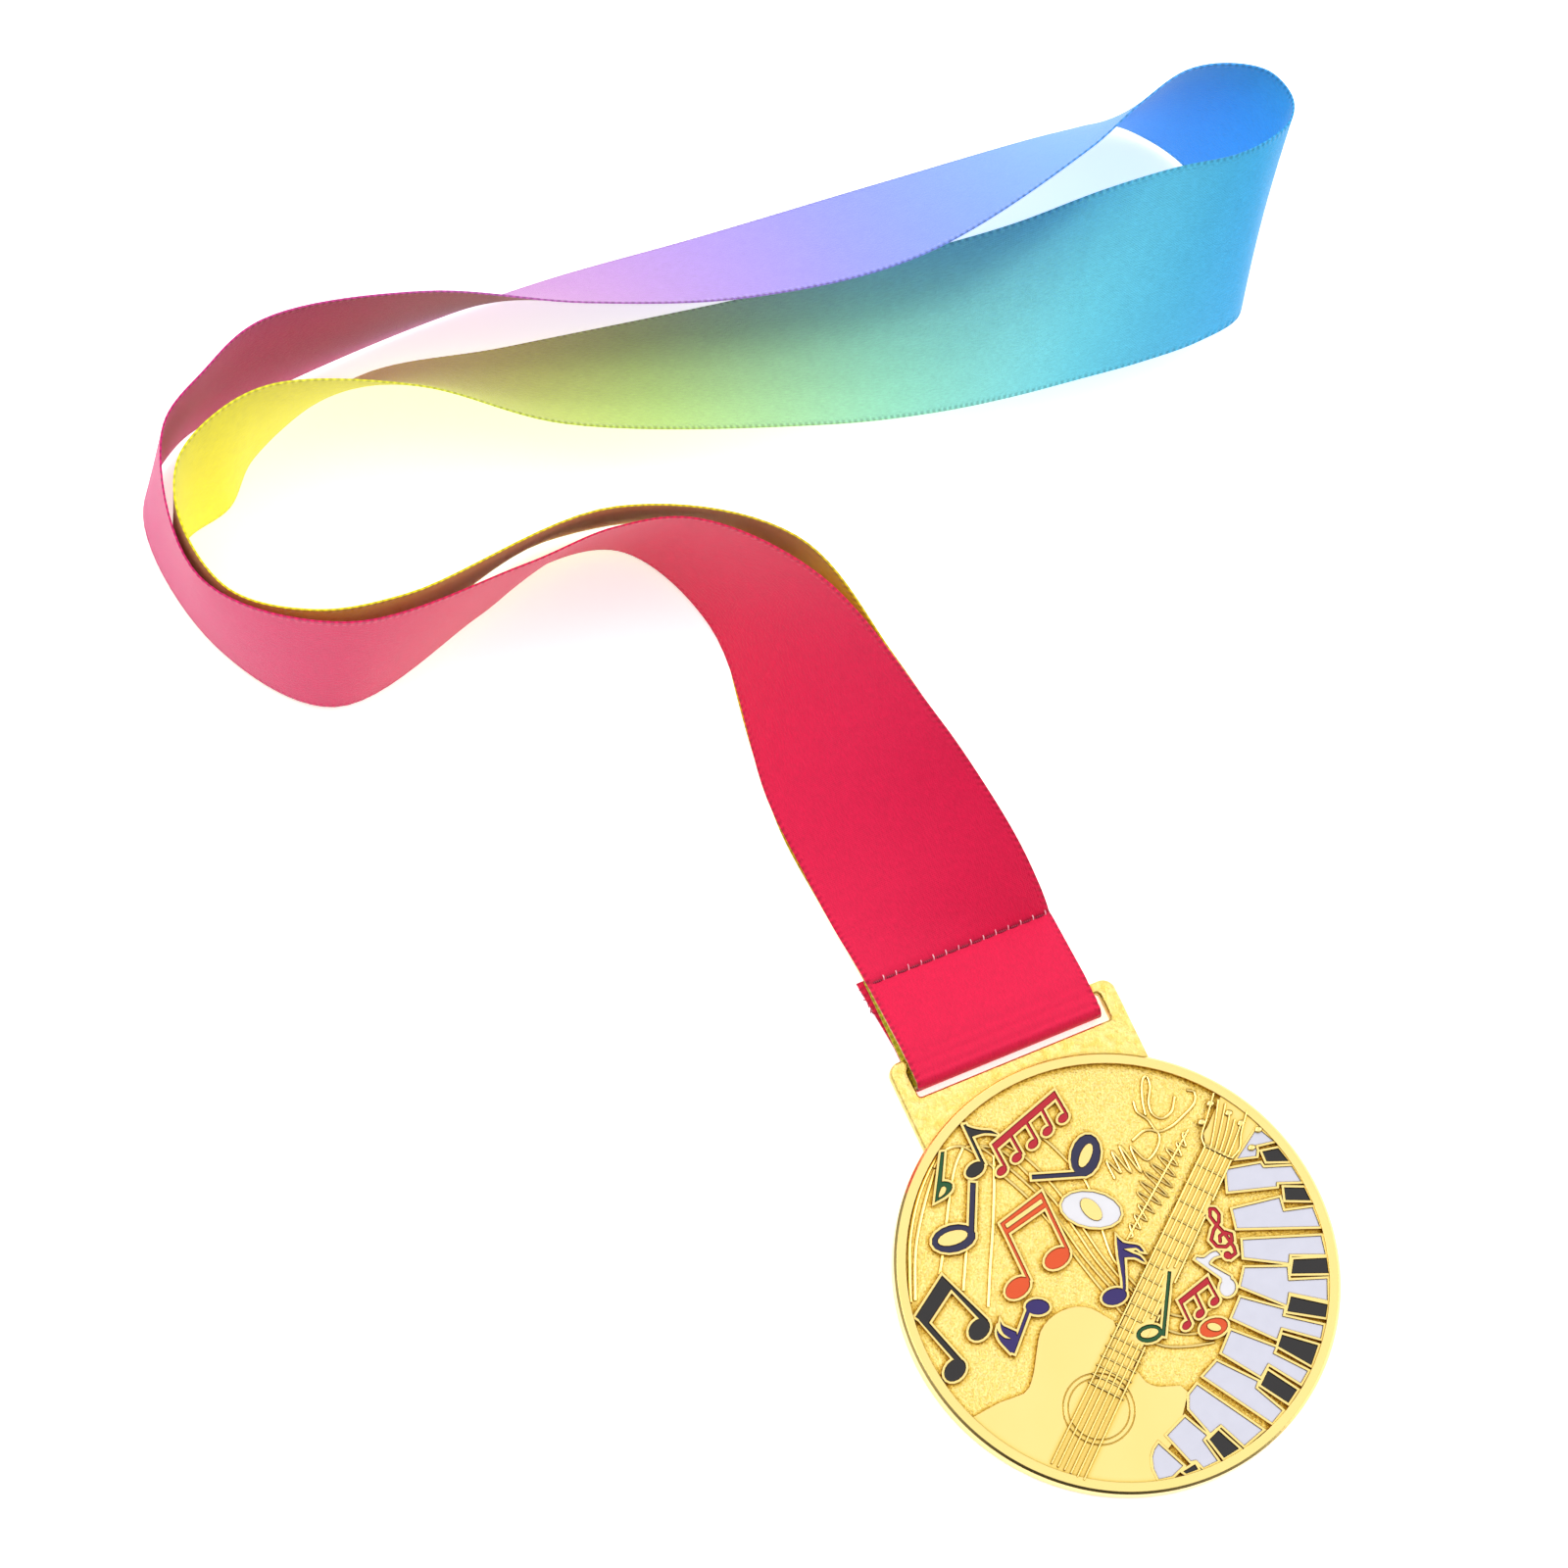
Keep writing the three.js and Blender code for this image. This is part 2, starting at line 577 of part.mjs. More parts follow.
function ribbonGeometry() {
  const stations = ribbonStations();
  const count = stations.length - 1;
  const middles = stations.map(([left, right]) => left.clone().add(right).multiplyScalar(0.5));
  const corners = stations.flatMap(([left, right], i) => {
    const along = middles[Math.min(i + 1, count)].clone().sub(middles[Math.max(i - 1, 0)]);
    const half = along.cross(right.clone().sub(left)).setLength(ribbonThick / 2);
    return [left.clone().add(half), right.clone().add(half), right.clone().sub(half), left.clone().sub(half)];
  });
  // Both faces are split along the same diagonal, so the thin walls stay apart where the ribbon twists.
  const index = [0, 1, 2, 0, 2, 3];
  for (let i = 0; i < count; i += 1) {
    for (let side = 0; side < 4; side += 1) {
      const a = 4 * i + side;
      const b = 4 * i + ((side + 1) % 4);
      const c = a + 4;
      const d = b + 4;
      index.push(...(side === 0 ? [a, c, d, a, d, b] : [a, c, b, b, c, d]));
    }
  }
  const last = 4 * count;
  index.push(last, last + 2, last + 1, last, last + 3, last + 2);
  const geometry = new THREE.BufferGeometry().setFromPoints(corners);
  geometry.setIndex(index);
  return geometryOf(solidOf(geometry));
}

function stitchGeometry() {
  const geometry = new THREE.BoxGeometry(28.5, 0.5, 0.18);
  geometry.translate(-0.25, 56.5, 1.96);
  return geometry;
}

const part = new THREE.Group();

function addPiece(name, geometry, look) {
  const mesh = new THREE.Mesh(geometry, new THREE.MeshStandardMaterial(look));
  mesh.name = name;
  part.add(mesh);
}

addPiece('medal_body', geometryOf(goldSolid()), gold);
enamels.forEach((item) => {
  const solid = enamelSolid(item, -enamelGap, pocketFloor + 0.02, enamelTop);
  addPiece(item.name, geometryOf(solid), { color: item.color, roughness: 0.18, metalness: 0 });
});
addPiece('ribbon', ribbonGeometry(), { color: 0xb03a9a, roughness: 0.75, metalness: 0 });
addPiece('seam_stitching', stitchGeometry(), { color: 0xe8405c, roughness: 0.8, metalness: 0 });

export default part;
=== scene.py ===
import json
import math
import random

import bpy
from mathutils import Matrix, Vector


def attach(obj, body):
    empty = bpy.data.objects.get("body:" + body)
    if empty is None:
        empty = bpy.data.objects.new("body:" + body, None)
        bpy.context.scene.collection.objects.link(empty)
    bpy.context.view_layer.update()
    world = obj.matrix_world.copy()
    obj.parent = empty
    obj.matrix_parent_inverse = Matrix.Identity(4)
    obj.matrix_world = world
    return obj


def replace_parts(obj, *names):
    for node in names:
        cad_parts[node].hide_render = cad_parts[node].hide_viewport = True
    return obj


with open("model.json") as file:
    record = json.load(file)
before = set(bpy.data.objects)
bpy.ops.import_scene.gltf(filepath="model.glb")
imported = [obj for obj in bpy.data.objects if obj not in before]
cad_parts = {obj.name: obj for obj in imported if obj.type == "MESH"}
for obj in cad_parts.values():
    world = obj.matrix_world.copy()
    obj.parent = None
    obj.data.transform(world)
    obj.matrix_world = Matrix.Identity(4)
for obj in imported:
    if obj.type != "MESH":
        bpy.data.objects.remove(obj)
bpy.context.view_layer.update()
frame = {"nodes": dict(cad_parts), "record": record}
mm = 0.001
random.seed(7)
print("frame loaded")


def deselectAll():
    if bpy.context.object and bpy.context.object.mode != "OBJECT":
        bpy.ops.object.mode_set(mode="OBJECT")
    bpy.ops.object.select_all(action="DESELECT")


def only(piece):
    deselectAll()
    piece.select_set(True)
    bpy.context.view_layer.objects.active = piece


camera = {
    "place": (-0.2641, -0.1364, 0.860),
    "right": (0.8967, -0.4163, 0.1501),
    "up": (0.3503, 0.875, 0.3343),
    "lens": 135,
}


def makeCamera():
    data = bpy.data.cameras.new("camera")
    data.lens = camera["lens"]
    data.sensor_width = 36
    data.clip_start = 0.01
    eye = bpy.data.objects.new("camera", data)
    bpy.context.collection.objects.link(eye)
    right = Vector(camera["right"]).normalized()
    back = right.cross(Vector(camera["up"])).normalized()
    up = back.cross(right)
    turned = Matrix((right, up, back)).transposed().to_4x4()
    eye.matrix_world = Matrix.Translation(camera["place"]) @ turned
    bpy.context.scene.camera = eye


makeCamera()
print("camera placed")


def setRange(node, *limits):
    # the four limits of a map range node: from low, from high, to low, to high
    for socket, value in zip(("From Min", "From Max", "To Min", "To Max"), limits):
        node.inputs[socket].default_value = value


class Finish:
    # a node material with a few short ways to add and join nodes
    def __init__(self, name):
        self.material = bpy.data.materials.new(name)
        self.material.use_nodes = True
        self.tree = self.material.node_tree
        self.shader = self.tree.nodes["Principled BSDF"]

    def node(self, kind, **values):
        made = self.tree.nodes.new(kind)
        for key, value in values.items():
            if key in made.inputs:
                made.inputs[key].default_value = value
            else:
                setattr(made, key, value)
        return made

    def join(self, out, into):
        self.tree.links.new(out, into)

    def set(self, **values):
        for key, value in values.items():
            self.shader.inputs[key.replace("_", " ")].default_value = value

    def objectPlace(self):
        return self.node("ShaderNodeTexCoord").outputs["Object"]

    def ramp(self, source, stops, interpolation="LINEAR"):
        made = self.node("ShaderNodeValToRGB")
        made.color_ramp.interpolation = interpolation
        elements = made.color_ramp.elements
        while len(elements) < len(stops):
            elements.new(0.5)
        for element, (place, color) in zip(elements, stops):
            element.position = place
        for element, (place, color) in zip(elements, stops):
            element.color = color if len(color) == 4 else (*color, 1)
        self.join(source, made.inputs["Fac"])
        return made.outputs["Color"]

    def bump(self, height, strength, distance, below=None):
        made = self.node("ShaderNodeBump", Strength=strength, Distance=distance)
        self.join(height, made.inputs["Height"])
        if below is not None:
            self.join(below, made.inputs["Normal"])
        return made.outputs["Normal"]

    def noise(self, place, scale, detail=2.0, roughness=0.5):
        made = self.node("ShaderNodeTexNoise", Scale=scale, Detail=detail, Roughness=roughness)
        if place is not None:
            self.join(place, made.inputs["Vector"])
        return made.outputs["Fac"]

    def math(self, operation, a, b=None, c=None):
        made = self.node("ShaderNodeMath", operation=operation)
        for socket, value in zip(made.inputs, (a, b, c)):
            if value is None:
                continue
            if isinstance(value, (int, float)):
                socket.default_value = value
            else:
                self.join(value, socket)
        return made.outputs[0]

    def mapped(self, source, low, high, toLow, toHigh):
        made = self.node("ShaderNodeMapRange")
        setRange(made, low, high, toLow, toHigh)
        self.join(source, made.inputs["Value"])
        return made.outputs["Result"]


def fromHex(text):
    # a screen colour as the linear one that the shader takes
    parts = [int(text[i : i + 2], 16) / 255 for i in (0, 2, 4)]
    return tuple(p / 12.92 if p <= 0.04045 else ((p + 0.055) / 1.055) ** 2.4 for p in parts)


ribbon = {
    "width": 32,
    "thick": 0.3,
    "across": 40,
    "stepsPerSpan": 11,
    "foldCentre": (39.8, 1.9),
    "foldSides": (-16.4, 15.6),
    "foldTop": 45,
    "tailBend": 51,
    # each end's radius in the fold, where its tail ends, and how far that slips sideways
    "firstEnd": (1.7, 57.8, -1.1),
    "lastEnd": (1.3, 57.6, 0),
    "bridgeSteps": 24,
    "stitchY": 56.6,
    "stitches": 14,
    "grooveReach": 0.75,
    "grooveDepth": 0.3,
    "creaseStart": 38.5,
    "creaseDepth": 0.13,
    "creaseRate": 3.6,
    "beads": 1.1,
    "weftPitch": 0.42,
    "warpPitch": 0.36,
    # the cloth coordinate starts this far before the stitch line, and 1 in it is this long
    "clothStart": 50,
    "clothLength": 1000,
    "rainbow": [
        # millimetres from the red end's stitch line, and the dye there, with some painted shade in the last
        # stops
        (-50, "dc1d46"),
        (120, "da2250"),
        (180, "d23c78"),
        (225, "c64f90"),
        (270, "b57ec8"),
        (310, "9094e8"),
        (350, "6fa8f4"),
        (395, "52aeee"),
        (430, "70c4d6"),
        (465, "98d8b8"),
        (505, "bcde86"),
        (550, "e2e25c"),
        (600, "efe443"),
        # these last stops darken towards the tail at the medal: partly the dye's golden and yellow-green,
        # partly painted shade
        (700, "e6cc40"),
        (830, "c6c24e"),
    ],
}

# The loop from one side of the stitch line to the other: a point on the left
# edge, then the one across from it on the right edge, in millimetres.
loop = [
    (-16.3, 56.8, 1.5, 15.7, 56.8, 1.5),
    (-16.7, 61, 1.5, 15, 60.5, 5),
    (-17.3, 67, 1.4, 13.3, 67.5, 10.5),
    (-17.8, 78, 1.4, 10.2, 77.5, 16.5),
    (-18, 90.5, 1.5, 6.5, 87.5, 22),
    (-14, 120.5, 0.5, -3, 113, 29.5),
    (-22, 136.5, 2, -17.5, 127.5, 32.5),
    (-34, 139, 3, -30.5, 130.5, 34),
    (-48, 135, 2.5, -46, 130, 34),
    (-75, 129.5, 2, -75, 131.5, 33.5),
    (-88, 146, 1, -92.5, 146.5, 33),
    (-90, 170, 1, -88.5, 170.5, 33),
    (-81, 179, 1.5, -78.5, 177.5, 33),
    (-69, 182, 1, -67, 182, 33),
    (-42.5, 184.5, 0.5, -41.5, 178, 31.5),
    (-15.5, 184.5, 0.5, -17.5, 168.5, 28),
    (12.5, 182.5, 0.5, 8.5, 161.5, 24),
    (43.5, 180.5, 1, 37.5, 158.5, 23.5),
    (76.5, 178, 1.5, 68.5, 163.5, 29.5),
    (84.5, 176.5, 1.5, 79, 167, 31.5),
    (90, 171.5, 1, 88, 169, 33),
    (93.5, 165, 1, 95.5, 167.5, 33),
    (94.5, 157, 1.5, 101, 164, 32.5),
    (93, 149, 3, 102.5, 159, 32),
    (91, 141.5, 5, 100.5, 155.5, 32),
    (87, 135.5, 7.5, 95.5, 153.5, 32.5),
    (78.5, 133.5, 9, 90, 153.5, 31),
    (67, 133, 11, 82, 156.5, 26.5),
    (55, 133.5, 12.5, 71.5, 160, 18.5),
    (43, 135, 12, 58.5, 163, 9.5),
    (31.5, 137.5, 10.5, 42.5, 166.5, 3.2),
    (13.5, 141, 13.5, 22, 169, 0.9),
    (-27.5, 153, 22.5, -24.5, 176, 0.5),
    (-48, 164.5, 29.5, -49.5, 179.5, 1.5),
    (-69.5, 171.5, 33, -70, 173, 1),
    (-79.5, 170.5, 32.5, -77, 166.5, 1),
    (-88, 165.5, 32.5, -84.5, 164.5, 0.5),
    (-91.5, 156.5, 32.5, -89.5, 161, 0.5),
    (-89, 143.5, 32, -86, 147.5, 0.5),
    (-78.5, 135.5, 32.5, -80, 136.5, 0.5),
    (-64.5, 132.5, 33, -67.5, 134.5, 1),
    (-29, 133.5, 34, -33.5, 142.5, 3),
    (-4, 120, 30.5, -7.5, 134.5, 1.5),
    (4, 98.5, 23.5, -13.5, 115, 0.5),
    (12.5, 76, 7.5, -18, 86.5, 0.4),
    (14.4, 66.5, 2.4, -17.4, 72.5, 0.5),
    (15.2, 61.5, 1.5, -16.8, 64.5, 0.8),
    (15.7, 56.8, 1.1, -16.3, 56.8, 1.1),
]


def smoothThrough(points, steps):
    # a centripetal curve through the points, which keeps clear of kinks
    points = [Vector(p) for p in points]
    ends = [2 * points[0] - points[1], *points, 2 * points[-1] - points[-2]]
    out = []
    for k in range(1, len(ends) - 2):
        a, b, c, d = ends[k - 1 : k + 3]
        tb = (b - a).length ** 0.5
        tc = tb + (c - b).length ** 0.5
        td = tc + (d - c).length ** 0.5
        for j in range(steps):
            t = tb + (tc - tb) * j / steps
            ab = a.lerp(b, t / tb)
            bc = b.lerp(c, (t - tb) / (tc - tb))
            cd = c.lerp(d, (t - tc) / (td - tc))
            out.append(ab.lerp(bc, t / tc).lerp(bc.lerp(cd, (t - tb) / (td - tb)), (t - tb) / (tc - tb)))
    out.append(points[-1])
    return out


def foldStations(radius, tailEnd, sideShift):
    # tail under the bar, round the fold, and out above it
    leftX, rightX = ribbon["foldSides"]
    y, z = ribbon["foldCentre"]
    bend, top = ribbon["tailBend"], ribbon["foldTop"]
    places = [(tailEnd + (bend - tailEnd) * k / 10, sideShift * (1 - 0.6 * k / 10)) for k in range(10)]
    places += [(bend + (y - bend) * k / 14, sideShift * 0.4 * max(0, 1 - k / 6)) for k in range(14)]
    flat = [(a, z - radius, shift) for a, shift in places]
    for k in range(21):
        angle = math.radians(-90 - 9 * k)
        flat.append((y + radius * math.cos(angle), z + radius * math.sin(angle), 0))
    for k in range(1, 11):
        flat.append((y + (top - y) * k / 10, z + radius, 0))
    return [(Vector((leftX + shift, a, b)), Vector((rightX, a, b))) for a, b, shift in flat]


def bridge(first, last):
    # stations evenly between two others
    steps = ribbon["bridgeSteps"]
    return [tuple(p.lerp(q, k / steps) for p, q in zip(first, last)) for k in range(1, steps)]


def ribbonStations():
    left = smoothThrough([row[:3] for row in loop], ribbon["stepsPerSpan"])
    right = smoothThrough([row[3:] for row in loop], ribbon["stepsPerSpan"])
    start = foldStations(*ribbon["firstEnd"])
    end = [(b, a) for a, b in foldStations(*ribbon["lastEnd"])][::-1]
    before = start + bridge(start[-1], (left[0], right[0]))
    after = bridge((left[-1], right[-1]), end[0]) + end
    return before, list(zip(left, right)), after


def makeRibbon():
    before, around, after = ribbonStations()
    stations = before + around + after
    middles = [(a + b) / 2 for a, b in stations]
    run = [0.0]
    for a, b in zip(middles, middles[1:]):
        run.append(run[-1] + (b - a).length)
    stitchRun = run[len(before)]
    across = ribbon["across"]
    creaseStart, top = ribbon["creaseStart"], ribbon["foldTop"]
    verts, faces = [], []
    for i, (left, right) in enumerate(stations):
        nearStitch = i < len(before) + 30 and i > 40
        for j in range(across + 1):
            point = left.lerp(right, j / across)
            if nearStitch:
                # the thread pulls the cloth down in a narrow groove
                d = (run[i] - stitchRun) / ribbon["grooveReach"]
                wave = 0.75 + 0.25 * math.cos(2 * math.pi * j / across * ribbon["stitches"])
                point = point - Vector((0, 0, ribbon["grooveDepth"] * wave * math.exp(-d * d)))
            if i < len(before) and point.z > 2.6 and point.y < top:
                # soft creases just above the fold
                past = point.y - creaseStart
                fade = min(1, (top - point.y) / 3) * min(1, max(0, past))
                rise = ribbon["creaseDepth"] * fade * math.sin(past * ribbon["creaseRate"])
                point = point + Vector((0, 0, rise))
            verts.append(point * mm)
    for i in range(len(stations) - 1):
        for j in range(across):
            a = i * (across + 1) + j
            faces.append((a, a + 1, a + across + 2, a + across + 1))
    mesh = bpy.data.meshes.new("neckRibbon")
    mesh.from_pydata(verts, [], faces)
    along = mesh.uv_layers.new(name="cloth")
    for polygon in mesh.polygons:
        for corner in polygon.loop_indices:
            i, j = divmod(mesh.loops[corner].vertex_index, across + 1)
            v = (run[i] - stitchRun + ribbon["clothStart"]) / ribbon["clothLength"]
            along.data[corner].uv = (j / across, v)
    piece = bpy.data.objects.new("neckRibbon", mesh)
    bpy.context.collection.objects.link(piece)
    only(piece)
    bpy.ops.object.shade_smooth()
    thick = piece.modifiers.new("thickness", "SOLIDIFY")
    thick.thickness = ribbon["thick"] * mm
    thick.offset = 0
    thick.use_even_offset = True
    bpy.ops.object.modifier_apply(modifier="thickness")
    bpy.ops.object.shade_smooth_by_angle(angle=math.radians(50))
    piece.data.materials.append(ribbonFinish())
    print("ribbon made,", round(run[-1]), "mm long")
    return piece, run[-1] * mm


def ribbonFinish():
    finish = Finish("ribbonSatin")
    uv = finish.node("ShaderNodeUVMap", uv_map="cloth").outputs["UV"]
    split = finish.node("ShaderNodeSeparateXYZ")
    finish.join(uv, split.inputs[0])
    u, v = split.outputs[0], split.outputs[1]
    start, length = ribbon["clothStart"], ribbon["clothLength"]
    stops = [((s + start) / length, fromHex(color)) for s, color in ribbon["rainbow"]]
    # the dye along the ribbon, with painted shade in its last stops towards the tail
    dyeAndShade = finish.ramp(v, stops)
    # cloth coordinates in millimetres
    cloth = finish.node("ShaderNodeVectorMath", operation="MULTIPLY")
    finish.join(uv, cloth.inputs[0])
    cloth.inputs[1].default_value = (ribbon["width"], length, 1)
    place = cloth.outputs[0]
    blotch = finish.noise(place, 0.35, 3)
    threads = finish.node("ShaderNodeVectorMath", operation="MULTIPLY")
    finish.join(place, threads.inputs[0])
    threads.inputs[1].default_value = (3.4, 0.9, 1)
    grain = finish.noise(threads.outputs[0], 1.0, 2, 0.7)
    shadeOf = finish.node("ShaderNodeHueSaturation", Saturation=1.08)
    finish.join(dyeAndShade, shadeOf.inputs["Color"])
    edgeward = finish.math("ABSOLUTE", finish.math("SUBTRACT", u, 0.5))
    beads = finish.math("SINE", finish.math("MULTIPLY", v, length * 2 * math.pi / ribbon["beads"]))
    atLip = finish.mapped(edgeward, 0.48, 0.488, 0, 1)
    lipDark = finish.math("MULTIPLY", atLip, finish.mapped(beads, -1, 1, -0.36, 0.08))
    clouded = finish.mapped(blotch, 0.3, 0.7, 1.12, 1.18)
    light = finish.math("ADD", clouded, finish.mapped(grain, 0.3, 0.7, -0.09, 0.09))
    # painted shade: the cloth is darkened in the groove of the stitch row, where shade falls
    seam = finish.math("ABSOLUTE", finish.math("SUBTRACT", v, start / length))
    grooveShade = finish.mapped(seam, 0.0001, 0.0006, -0.35, 0)
    light = finish.math("ADD", finish.math("ADD", light, lipDark), grooveShade)
    finish.join(light, shadeOf.inputs["Value"])
    finish.join(shadeOf.outputs[0], finish.shader.inputs["Base Color"])
    # weft ribs, warp lines and the dotted selvage
    weft = finish.math("SINE", finish.math("MULTIPLY", v, length * 2 * math.pi / ribbon["weftPitch"]))
    turns = ribbon["width"] * 2 * math.pi / ribbon["warpPitch"]
    warp = finish.math("SINE", finish.math("MULTIPLY", u, turns))
    weave = finish.math("MULTIPLY", weft, warp)
    selvage = finish.mapped(edgeward, 0.468, 0.476, 0, 1)
    lip = finish.math("MULTIPLY", selvage, finish.math("ADD", finish.math("MULTIPLY", beads, 0.9), 0.6))
    height = finish.math("ADD", finish.math("MULTIPLY", weave, 0.35), finish.math("MULTIPLY", lip, 1.6))
    height = finish.math("ADD", height, finish.math("MULTIPLY", grain, 2.2))
    finish.join(finish.bump(height, 0.5, 0.0001), finish.shader.inputs["Normal"])
    finish.set(Roughness=0.62, Sheen_Weight=0.35, Sheen_Roughness=0.4, Specular_IOR_Level=0.35)
    return finish.material


neckRibbon, ribbonLength = makeRibbon()
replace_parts(neckRibbon, "ribbon")
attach(neckRibbon, "ribbon")

gold = {
    # from the painted shade at the bottom of a recess to an open polished face
    "tones": [(0.2, "7d4c08"), (0.5, "c3952a"), (0.8, "f0cf68"), (1.0, "ffe392")],
    "rimInner": 33.2,
    "rimOuter": 35.02,
    "fieldTop": 2.3,
    "edgeSoftness": 0.12,
    "recessShadeReach": 0.9,
}


def goldFinish(name, zones):
    # zones: sandblasted ground inside the rim, pebbled hanger, polished elsewhere
    finish = Finish(name)
    place = finish.objectPlace()
    rounded = finish.node("ShaderNodeBevel", samples=4)
    rounded.inputs["Radius"].default_value = gold["edgeSoftness"] * mm
    # painted shade: an occlusion node darkens the gold in recesses and beside ridges, where shade falls
    recessShade = finish.node("ShaderNodeAmbientOcclusion", samples=6)
    recessShade.inputs["Distance"].default_value = gold["recessShadeReach"] * mm
    cloud = finish.mapped(finish.noise(place, 90, 2), 0.3, 0.7, -0.03, 0.0)
    openToLight = finish.math("ADD", recessShade.outputs["AO"], cloud)
    polish = finish.bump(finish.noise(place, 700, 2), 0.06, 0.00003, rounded.outputs["Normal"])
    tones = [(at, fromHex(color)) for at, color in gold["tones"]]
    finish.set(Metallic=1.0)
    if not zones:
        # the dark end of the tones is painted shade in recesses
        finish.join(finish.ramp(openToLight, tones), finish.shader.inputs["Base Color"])
        finish.join(polish, finish.shader.inputs["Normal"])
        finish.set(Roughness=0.2)
        return finish.material
    split = finish.node("ShaderNodeSeparateXYZ")
    finish.join(place, split.inputs[0])
    x, y, z = split.outputs
    squares = finish.math("ADD", finish.math("MULTIPLY", x, x), finish.math("MULTIPLY", y, y))
    radius = finish.math("SQRT", squares)
    inside = finish.math("LESS_THAN", radius, (gold["rimInner"] + 0.02) * mm)
    low = finish.math("LESS_THAN", z, (gold["fieldTop"] + 0.04) * mm)
    facing = finish.math("GREATER_THAN", z, (gold["fieldTop"] - 0.04) * mm)
    ground = finish.math("MULTIPLY", finish.math("MULTIPLY", inside, low), facing)
    outside = finish.math("GREATER_THAN", radius, gold["rimOuter"] * mm)
    sand = finish.noise(place, 3300, 2, 0.6)
    pebble = finish.noise(place, 800, 4, 0.65)
    speck = finish.math("MULTIPLY", finish.mapped(sand, 0.35, 0.65, -0.21, 0.06), ground)
    patch = finish.math("MULTIPLY", finish.mapped(pebble, 0.35, 0.65, -0.2, 0.0), outside)
    # painted shade in recesses, plus the sand grain of the ground and the pebbling of the hanger
    tone = finish.math("ADD", openToLight, finish.math("ADD", speck, patch))
    finish.join(finish.ramp(tone, tones), finish.shader.inputs["Base Color"])
    sandHeight = finish.math("MULTIPLY", sand, ground)
    pebbleHeight = finish.math("MULTIPLY", finish.math("MULTIPLY", pebble, outside), 1.6)
    height = finish.math("ADD", sandHeight, pebbleHeight)
    finish.join(finish.bump(height, 1.0, 0.00022, polish), finish.shader.inputs["Normal"])
    rough = finish.math("ADD", finish.math("MULTIPLY", ground, 0.2), finish.math("MULTIPLY", outside, 0.14))
    finish.join(finish.math("ADD", rough, 0.14), finish.shader.inputs["Roughness"])
    return finish.material


enamelColors = {
    "enamel_black": "221f1f",
    "enamel_red": "c01228",
    "enamel_green": "0c5426",
    "enamel_slate": "27264a",
    "enamel_white": "ecebf0",
    "enamel_orange": "e8541c",
    "enamel_purple": "31206a",
    "enamel_pearl": "d8d8e6",
}


def enamelFinish(slotName):
    finish = Finish(slotName.replace("_", "") + "Gloss")
    place = finish.objectPlace()
    base = fromHex(enamelColors[slotName])
    cloud = finish.noise(place, 420, 2)
    darker = tuple(c * 0.96 for c in base)
    finish.join(finish.ramp(cloud, [(0.3, darker), (0.7, base)]), finish.shader.inputs["Base Color"])
    domed = finish.node("ShaderNodeBevel", samples=6)
    domed.inputs["Radius"].default_value = 0.35 * mm
    wavy = finish.bump(finish.noise(place, 260, 1), 0.25, 0.0002, domed.outputs["Normal"])
    finish.join(wavy, finish.shader.inputs["Normal"])
    finish.set(Roughness=0.14, Coat_Weight=0.2, Coat_Roughness=0.05, Specular_IOR_Level=0.35)
    return finish.material


castGold = goldFinish("castGold", True)
brightGold = goldFinish("brightGold", False)
slotOf = {row["node"]: row["material_slot"] for row in frame["record"]["subparts"]}
enamels = {name: enamelFinish(name) for name in enamelColors}
for nodeName, node in frame["nodes"].items():
    node.data.materials.clear()
    if nodeName == "medal_body":
        node.data.materials.append(castGold)
    elif slotOf[nodeName] in enamels:
        node.data.materials.append(enamels[slotOf[nodeName]])
print("cast parts finished")


def coveredBy(point, covers):
    # whether a cover's outline, with its gold border, lies over the point
    above = Vector((point.x, point.y, 10)) * mm
    level = Vector((point.x, point.y, 2.6)) * mm
    for cover in covers:
        if cover.ray_cast(above, Vector((0, 0, -1)))[0]:
            return True
        found, near = cover.closest_point_on_mesh(level)[:2]
        if found and (near - level).length < relief["border"] * mm:
            return True
    return False


def threadCurve(name, lines, radius, high, finishOf, steps=8, covers=()):
    # round bars through points on the face, half sunk in the ground below them
    data = bpy.data.curves.new(name, "CURVE")
    data.dimensions = "3D"
    data.bevel_depth = radius * mm
    data.bevel_resolution = 2
    data.use_fill_caps = True
    data.resolution_u = 2
    for line in lines:
        points = smoothThrough([(x, y, rest[0] if rest else high) for x, y, *rest in line], steps)
        stretches = [[]]
        for point in points:
            if covers and coveredBy(point, covers):
                stretches.append([])
            else:
                stretches[-1].append(point)
        for stretch in stretches:
            if len(stretch) < 2:
                continue
            spline = data.splines.new("POLY")
            spline.points.add(len(stretch) - 1)
            for knot, point in zip(spline.points, stretch):
                knot.co = (*(point * mm), 1)
    piece = bpy.data.objects.new(name, data)
    bpy.context.collection.objects.link(piece)
    only(piece)
    bpy.ops.object.convert(target="MESH")
    piece = bpy.context.object
    bpy.ops.object.shade_smooth_by_angle(angle=math.radians(40))
    piece.data.materials.append(finishOf)
    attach(piece, "medal")
    return piece


relief = {
    "border": 0.5,
    "staffRadius": 0.3,
    "staffHigh": 2.3,
    "stringRadius": 0.17,
    "fretRadius": 0.17,
    "neckAngle": 39.46,
    "saddle": (-21.15, -25.3),
    "boardStart": (-10.15, -16.25),
    "nut": (22.65, 10.75),
    "halfWidths": (2.75, 2.27),
    "boardHalf": 3.05,
    "boardTaper": 0.45,
    "boardLength": 42.5,
    "firstFret": 1.5,
    "fretGrowth": 1.052,
    "frets": 18,
    "fretHigh": 2.9,
}

